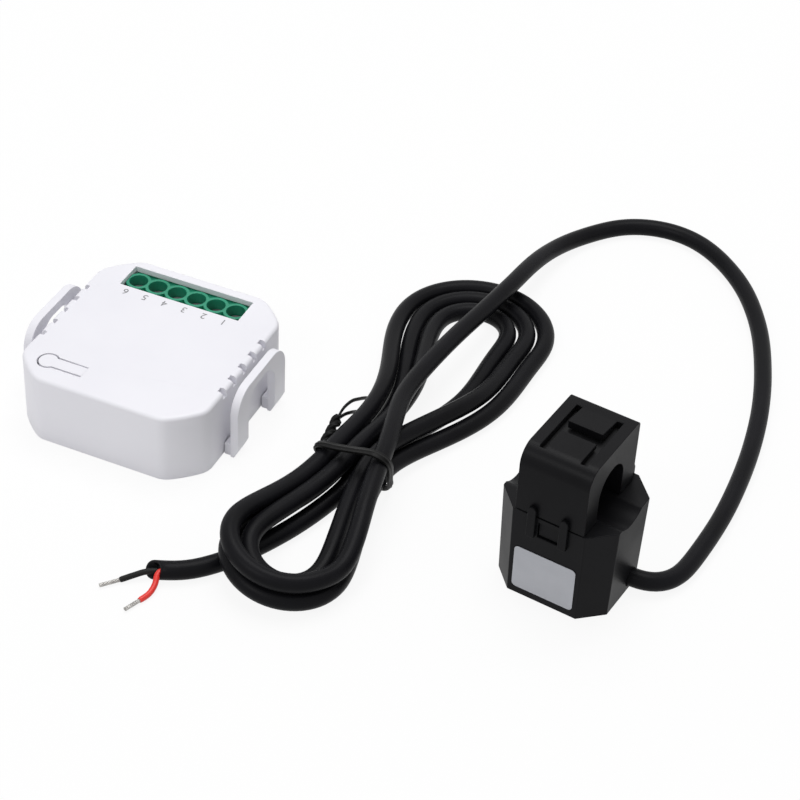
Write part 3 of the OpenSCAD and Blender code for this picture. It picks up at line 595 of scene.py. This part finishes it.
def from_nodes(name, tree, values):
    """The plain mesh that a tree of nodes makes with these inputs."""
    maker = bpy.data.objects.new(name, bpy.data.meshes.new(name))
    scene.collection.objects.link(maker)
    modifier = maker.modifiers.new("nodes", "NODES")
    modifier.node_group = tree
    for key, value in values.items():
        modifier[key] = value
    graph = bpy.context.evaluated_depsgraph_get()
    mesh = bpy.data.meshes.new_from_object(maker.evaluated_get(graph))
    maker.modifiers.remove(modifier)
    bpy.data.objects.remove(maker)
    return mesh


strand_ends = (Vector((0.0203, -0.0603, 0.0007)), Vector((0.0285, -0.0641, 0.0007)))
strand_turns = (0.9, 1.1)
tips_form = bmesh.new()
for start, end, turns in zip(wire_ends, strand_ends, strand_turns):
    tip = from_nodes("tip", strands, {
        strand_inputs["Length"]: (end - start).length + strand_d,
        strand_inputs["Strand"]: strand_d,
        strand_inputs["Turns"]: turns})
    lean = (end - start).to_track_quat("Z", "Y").to_matrix().to_4x4()
    tip.transform(Matrix.Translation(start - strand_d * (end - start).normalized()) @ lean)
    tips_form.from_mesh(tip)
tips_mesh = bpy.data.meshes.new("bare_strands")
tips_form.to_mesh(tips_mesh)
tips_form.free()
tips_mesh.shade_smooth()
tips = piece("bare_strands", tips_mesh, tinned, "monitor")
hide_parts("wire_tips")


# Studio: a plain white sweep under two soft lamps, a large cloth above and a smaller one in front.
# An even white room stands round it. The floor reads as white to the camera and still takes a faint shadow.
floor_half = 3
floor_z = -0.00005
floor_mesh = bpy.data.meshes.new("floor")
floor_corners = [(x * floor_half, y * floor_half, floor_z) for x, y in ((-1, -1), (1, -1), (1, 1), (-1, 1))]
floor_mesh.from_pydata(floor_corners, [], [(0, 1, 2, 3)])
floor = bpy.data.objects.new("floor", floor_mesh)
scene.collection.objects.link(floor)
floor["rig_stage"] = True


def seen_directly(tree):
    """1 for a ray from the camera, a mirror or a clear piece, and 0 for light that falls on the set."""
    path = tree.nodes.new("ShaderNodeLightPath")
    first = tree.nodes.new("ShaderNodeMath")
    first.operation = "MAXIMUM"
    tree.links.new(path.outputs["Is Camera Ray"], first.inputs[0])
    tree.links.new(path.outputs["Is Glossy Ray"], first.inputs[1])
    second = tree.nodes.new("ShaderNodeMath")
    second.operation = "MAXIMUM"
    tree.links.new(first.outputs["Value"], second.inputs[0])
    tree.links.new(path.outputs["Is Transmission Ray"], second.inputs[1])
    return second.outputs["Value"]


sweep = bpy.data.materials.new("white sweep")
sweep.use_nodes = True
sweep_tree = sweep.node_tree
sweep_tree.nodes.remove(sweep_tree.nodes["Principled BSDF"])
paper = add(sweep, "ShaderNodeBsdfDiffuse", Color=(0.9, 0.9, 0.9, 1))
glow = add(sweep, "ShaderNodeEmission", Color=(1, 1, 1, 1), Strength=1.0)
share = sweep_tree.nodes.new("ShaderNodeMath")
share.operation = "MULTIPLY"
share.inputs[1].default_value = 0.9
join(sweep, seen_directly(sweep_tree), share.inputs[0])
blend = sweep_tree.nodes.new("ShaderNodeMixShader")
join(sweep, share.outputs["Value"], blend.inputs["Fac"])
join(sweep, paper.outputs["BSDF"], blend.inputs[1])
join(sweep, glow.outputs["Emission"], blend.inputs[2])
join(sweep, blend.outputs["Shader"], sweep_tree.nodes["Material Output"].inputs["Surface"])
floor_mesh.materials.append(sweep)

room = bpy.data.worlds.new("white room")
scene.world = room
room.use_nodes = True
room_light = room.node_tree.nodes["Background"]
room_light.inputs["Color"].default_value = (1, 1, 1, 1)
room_level = room.node_tree.nodes.new("ShaderNodeMapRange")
room_level.inputs["To Min"].default_value = 0.45
room_level.inputs["To Max"].default_value = 1.0
room.node_tree.links.new(seen_directly(room.node_tree), room_level.inputs["Value"])
room.node_tree.links.new(room_level.outputs["Result"], room_light.inputs["Strength"])

lamp_aim = Vector((0.05, 0.02, 0))
for name, place, size, power in (
    ("cloth above", (0.0, 0.25, 1.0), 0.6, 6.0),
    ("cloth in front", (-0.2, -0.75, 0.8), 0.35, 2.2),
):
    lamp_data = bpy.data.lights.new(name, "AREA")
    lamp_data.shape = "SQUARE"
    lamp_data.size = size
    lamp_data.energy = power
    lamp = bpy.data.objects.new(name, lamp_data)
    scene.collection.objects.link(lamp)
    lean = (lamp_aim - Vector(place)).to_track_quat("-Z", "Y").to_matrix().to_4x4()
    lamp.matrix_world = Matrix.Translation(place) @ lean


# Housing: shell and base cover injection-moulded in white ABS with a fine spark-eroded skin.
# The base snaps into the shell from below, and the shell's corners are cut off to fit a round wall box.
white_abs = moulded(
    "white ABS", deep=(0.79, 0.785, 0.835), pale=(0.83, 0.825, 0.87), blotch=0.02,
    rough=(0.38, 0.47), grain=0.00018, depth=0.000012, specular=0.4)


def finished(name, node, material, edge):
    """A merged copy of a CAD node in the node's place, with its outward edges rounded."""
    merge = 0.000002
    flat_angle = 0.5
    corner_angle = 40
    form = bmesh.new()
    form.from_mesh(frame["nodes"][node].data)
    bmesh.ops.remove_doubles(form, verts=form.verts, dist=merge)
    bmesh.ops.dissolve_limit(form, angle_limit=math.radians(flat_angle), verts=form.verts, edges=form.edges)
    bmesh.ops.connect_verts_concave(form, faces=form.faces[:])
    form.normal_update()
    weight = form.edges.layers.float.new("bevel_weight_edge")
    for line in form.edges:
        bend = math.degrees(line.calc_face_angle(0))
        line[weight] = 1.0 if line.is_convex and bend > corner_angle else 0.0
        line.smooth = bend < corner_angle or line[weight] > 0
    mesh = bpy.data.meshes.new(name)
    form.to_mesh(mesh)
    form.free()
    for left in [a for a in mesh.attributes if a.name == "custom_normal"]:
        mesh.attributes.remove(left)
    for face in mesh.polygons:
        face.use_smooth = True
    made = piece(name, mesh, material, frame["nodes"][node]["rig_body"])
    rounding = made.modifiers.new("rounded edges", "BEVEL")
    rounding.width = edge
    rounding.segments = 3
    rounding.limit_method = "WEIGHT"
    rounding.use_clamp_overlap = False
    rounding.loop_slide = False
    rounding.harden_normals = True
    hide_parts(node)
    return made


finished("shell", "housing_shell", white_abs, edge=0.00012)
finished("base", "base_cover", white_abs, edge=0.0002)


# Side clips: two arched spring plates of the same ABS, thin at the root so that they bend inwards.
# They hold the module in a wall box or a rail holder.
finished("clip_left", "side_clip_left", white_abs, edge=0.0002)
finished("clip_right", "side_clip_right", white_abs, edge=0.0002)


# Press tab: a keyhole-shaped lever cut free in the shell's top, with a post under its round end.
# Pressing it works the switch on the board below. Its root runs on into the shell without a gap.
root_x = -0.0074
root_reach = 0.0003
press_tab = finished("press_tab", "button_tab", white_abs, edge=0.00008).data
at_root = [corner.co.x > root_x for corner in press_tab.vertices]
for corner in press_tab.vertices:
    corner.co.x += root_reach if at_root[corner.index] else 0
for line, rounding in zip(press_tab.edges, press_tab.attributes["bevel_weight_edge"].data):
    if at_root[line.vertices[0]] and at_root[line.vertices[1]]:
        rounding.value = 0
        line.use_edge_sharp = True


# Terminal block: one green nylon moulding with six round screw wells, pushed up into the shell's window.
# The wells guide a screwdriver from above, and the wires go in from the far side.
green_nylon = moulded(
    "green nylon", deep=(0.012, 0.22, 0.125), pale=(0.02, 0.29, 0.17), blotch=0.006,
    rough=(0.34, 0.46), grain=0.00016, depth=0.00001, specular=0.4)
finished("terminal_body", "terminal_block", green_nylon, edge=0.0001)


# Terminal screws: plated steel with slotted heads at the bottom of the wells.
# Each one draws up a brass clamp on its wire.
terminals = range(1, 7)
plated_steel = moulded(
    "plated steel", deep=(0.18, 0.18, 0.185), pale=(0.27, 0.27, 0.275), blotch=0.0015,
    rough=(0.48, 0.6), grain=0.0001, depth=0.000006, metal=1.0)
for i in terminals:
    finished("screw_%d" % i, "terminal_screw_%d" % i, plated_steel, edge=0.00008)


# Terminal numbers: plain figures beside the wells, for a reader at the wire entries.
# They are printed in grey, and the ink is a thin film on the shell's top.
pitch = 0.00508
row_x = -0.001
row_middle = (len(terminals) + 1) / 2
figures_y = 0.0122
ink_z = 0.01742
grey_ink = moulded(
    "grey ink", deep=(0.2, 0.2, 0.21), pale=(0.27, 0.27, 0.28), blotch=0.001,
    rough=(0.5, 0.65), grain=0.0001, depth=0.000002, specular=0.3)
figures_form = bmesh.new()
for i in terminals:
    figure = bpy.data.curves.new("figure", "FONT")
    figure.body = str(len(terminals) + 1 - i)
    figure.size = 0.0028
    figure.align_x = "CENTER"
    figure.align_y = "CENTER"
    holder = bpy.data.objects.new("figure", figure)
    scene.collection.objects.link(holder)
    flat = bpy.data.meshes.new_from_object(holder.evaluated_get(bpy.context.evaluated_depsgraph_get()))
    bpy.data.objects.remove(holder)
    figure_at = Matrix.Translation((row_x + pitch * (i - row_middle), figures_y, ink_z))
    flat.transform(figure_at @ Matrix.Rotation(math.pi, 4, "Z"))
    figures_form.from_mesh(flat)
figures_mesh = bpy.data.meshes.new("terminal_numbers")
figures_form.to_mesh(figures_mesh)
figures_form.free()
piece("terminal_numbers", figures_mesh, grey_ink, "monitor")


# Current transformer: case, base plate, hinged jaw and latch moulded in black ABS with a fine matte skin.
# The jaw turns on a steel pin at the back, and its latch tongue catches under the bridge at the front.
black_abs = moulded(
    "black ABS", deep=(0.0045, 0.0045, 0.0052), pale=(0.007, 0.007, 0.0082), blotch=0.012,
    rough=(0.34, 0.43), grain=0.0002, depth=0.000014, specular=0.075)
finished("transformer_case", "ct_case", black_abs, edge=0.00016)
finished("transformer_base", "ct_base_plate", black_abs, edge=0.0002)
finished("jaw_body", "ct_jaw", black_abs, edge=0.00016)
finished("latch_tongue", "ct_latch", black_abs, edge=0.0001)


# Label: a silver-grey film sticker with round corners.
# It is stuck flat on the front of the transformer's case.
silver_film = moulded(
    "silver film", deep=(0.42, 0.43, 0.465), pale=(0.48, 0.49, 0.525), blotch=0.006,
    rough=(0.42, 0.52), grain=0.00012, depth=0.000004, specular=0.4)
finished("label_film", "ct_label", silver_film, edge=0.00004)


def carried(material, *names):
    """A finish on CAD nodes that keep their own shape."""
    for name in names:
        frame["nodes"][name].material_slots[0].material = material


# Hinge pin: a cut length of plated steel wire pressed through the two ears of the case.
# The knuckle in the middle of the jaw turns on it.
carried(plated_steel, "ct_hinge_pin")


# Magnetic core: two ground ferrite halves that meet face to face when the jaw is shut.
# The lower one is fixed in the case, and the upper one swings with the jaw.
ferrite = moulded(
    "ground ferrite", deep=(0.008, 0.008, 0.009), pale=(0.014, 0.014, 0.015), blotch=0.003,
    rough=(0.36, 0.5), grain=0.0001, depth=0.000005, specular=0.15)
carried(ferrite, "lower_core", "upper_core")


# Coil: an ivory nylon bobbin round the lower bar of the core, wound full of enamelled copper wire.
# The turns lie side by side, so fine ridges run round it.
ivory_nylon = moulded(
    "ivory nylon", deep=(0.6, 0.56, 0.45), pale=(0.68, 0.64, 0.53), blotch=0.004,
    rough=(0.4, 0.52), grain=0.00015, depth=0.000008)
carried(ivory_nylon, "coil_bobbin")
magnet_wire = moulded(
    "enamelled copper", deep=(0.36, 0.12, 0.045), pale=(0.5, 0.19, 0.075), blotch=0.002,
    rough=(0.25, 0.4), grain=0.0001, depth=0.000004, metal=0.7)
wire_nodes = magnet_wire.node_tree.nodes
ridges = add(magnet_wire, "ShaderNodeTexWave", Scale=1600.0, Distortion=0.4)
ridges.bands_direction = "Y"
join(magnet_wire, wire_nodes["Texture Coordinate"].outputs["Object"], ridges.inputs["Vector"])
wound = add(magnet_wire, "ShaderNodeBump", Strength=0.8, Distance=0.00004)
join(magnet_wire, ridges.outputs["Fac"], wound.inputs["Height"])
join(magnet_wire, wire_nodes["Bump"].outputs["Normal"], wound.inputs["Normal"])
join(magnet_wire, wound.outputs["Normal"], wire_nodes["Principled BSDF"].inputs["Normal"])
carried(magnet_wire, "coil_winding")


# Terminal clamps and contact bars: folded brass cages that the screws draw up, and tinned bars with pins.
# The pins are soldered into the main board.
brass = moulded(
    "rolled brass", deep=(0.6, 0.42, 0.15), pale=(0.74, 0.55, 0.24), blotch=0.002,
    rough=(0.25, 0.4), grain=0.0001, depth=0.000005, metal=1.0)
carried(brass, *["terminal_cage_%d" % i for i in terminals])
carried(tinned, "terminal_pins")


# Boards: glass-epoxy laminate under solder mask, green for the mains side and blue for the radio.
# The radio is shielded by a tinned steel can.
green_mask = moulded(
    "green solder mask", deep=(0.008, 0.09, 0.035), pale=(0.014, 0.14, 0.06), blotch=0.003,
    rough=(0.25, 0.4), grain=0.0003, depth=0.00001)
blue_mask = moulded(
    "blue solder mask", deep=(0.01, 0.03, 0.14), pale=(0.016, 0.05, 0.2), blotch=0.003,
    rough=(0.25, 0.4), grain=0.0003, depth=0.00001)
shield_tin = moulded(
    "tinned sheet", deep=(0.6, 0.6, 0.58), pale=(0.74, 0.74, 0.72), blotch=0.004,
    rough=(0.3, 0.45), grain=0.0002, depth=0.000008, metal=1.0)
carried(green_mask, "main_board")
carried(blue_mask, "radio_board")
carried(shield_tin, "radio_shield")


# Mains parts on the board: a taped transformer, sleeved capacitors, a dipped varistor and a coated resistor.
# All stand on the main board and are soldered through it.
yellow_tape = moulded(
    "yellow polyester tape", deep=(0.6, 0.4, 0.04), pale=(0.72, 0.5, 0.07), blotch=0.004,
    rough=(0.3, 0.42), grain=0.0003, depth=0.00001)
black_sleeve = moulded(
    "black shrink sleeve", deep=(0.01, 0.01, 0.011), pale=(0.018, 0.018, 0.02), blotch=0.003,
    rough=(0.3, 0.45), grain=0.0002, depth=0.000008)
blue_epoxy = moulded(
    "blue dipped epoxy", deep=(0.015, 0.06, 0.25), pale=(0.025, 0.09, 0.33), blotch=0.003,
    rough=(0.3, 0.45), grain=0.0003, depth=0.00002)
grey_enamel = moulded(
    "grey-green enamel", deep=(0.2, 0.25, 0.2), pale=(0.27, 0.32, 0.27), blotch=0.002,
    rough=(0.4, 0.55), grain=0.0002, depth=0.00001)
carried(yellow_tape, "mains_transformer")
carried(black_sleeve, "filter_capacitors")
carried(blue_epoxy, "varistor")
carried(grey_enamel, "fuse_resistor")


# Chips: transfer-moulded black epoxy packages, and a small water-clear status light.
# All are soldered flat on the main board.
chip_epoxy = moulded(
    "chip epoxy", deep=(0.014, 0.014, 0.015), pale=(0.022, 0.022, 0.024), blotch=0.002,
    rough=(0.45, 0.6), grain=0.00012, depth=0.000008, specular=0.4)
clear_epoxy = moulded(
    "water-clear epoxy", deep=(0.72, 0.78, 0.74), pale=(0.8, 0.85, 0.82), blotch=0.002,
    rough=(0.12, 0.2), grain=0.0002, depth=0.000004)
carried(chip_epoxy, "bridge_rectifier", "metering_chip", "power_chip")
carried(clear_epoxy, "status_led")


# Switch under the press tab: a black phenolic body and a tan plunger with a short travel.
# It is soldered on the main board, and the post of the tab presses its plunger.
black_phenolic = moulded(
    "black phenolic", deep=(0.016, 0.016, 0.016), pale=(0.026, 0.026, 0.025), blotch=0.002,
    rough=(0.4, 0.55), grain=0.00015, depth=0.00001, specular=0.4)
tan_nylon = moulded(
    "tan nylon", deep=(0.4, 0.26, 0.13), pale=(0.5, 0.33, 0.18), blotch=0.002,
    rough=(0.4, 0.52), grain=0.00015, depth=0.000008)
carried(black_phenolic, "tact_switch")
carried(tan_nylon, "switch_plunger")


size = {"cad": [list(corner) for corner in cad_box], "visual": [list(corner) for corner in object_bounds()]}
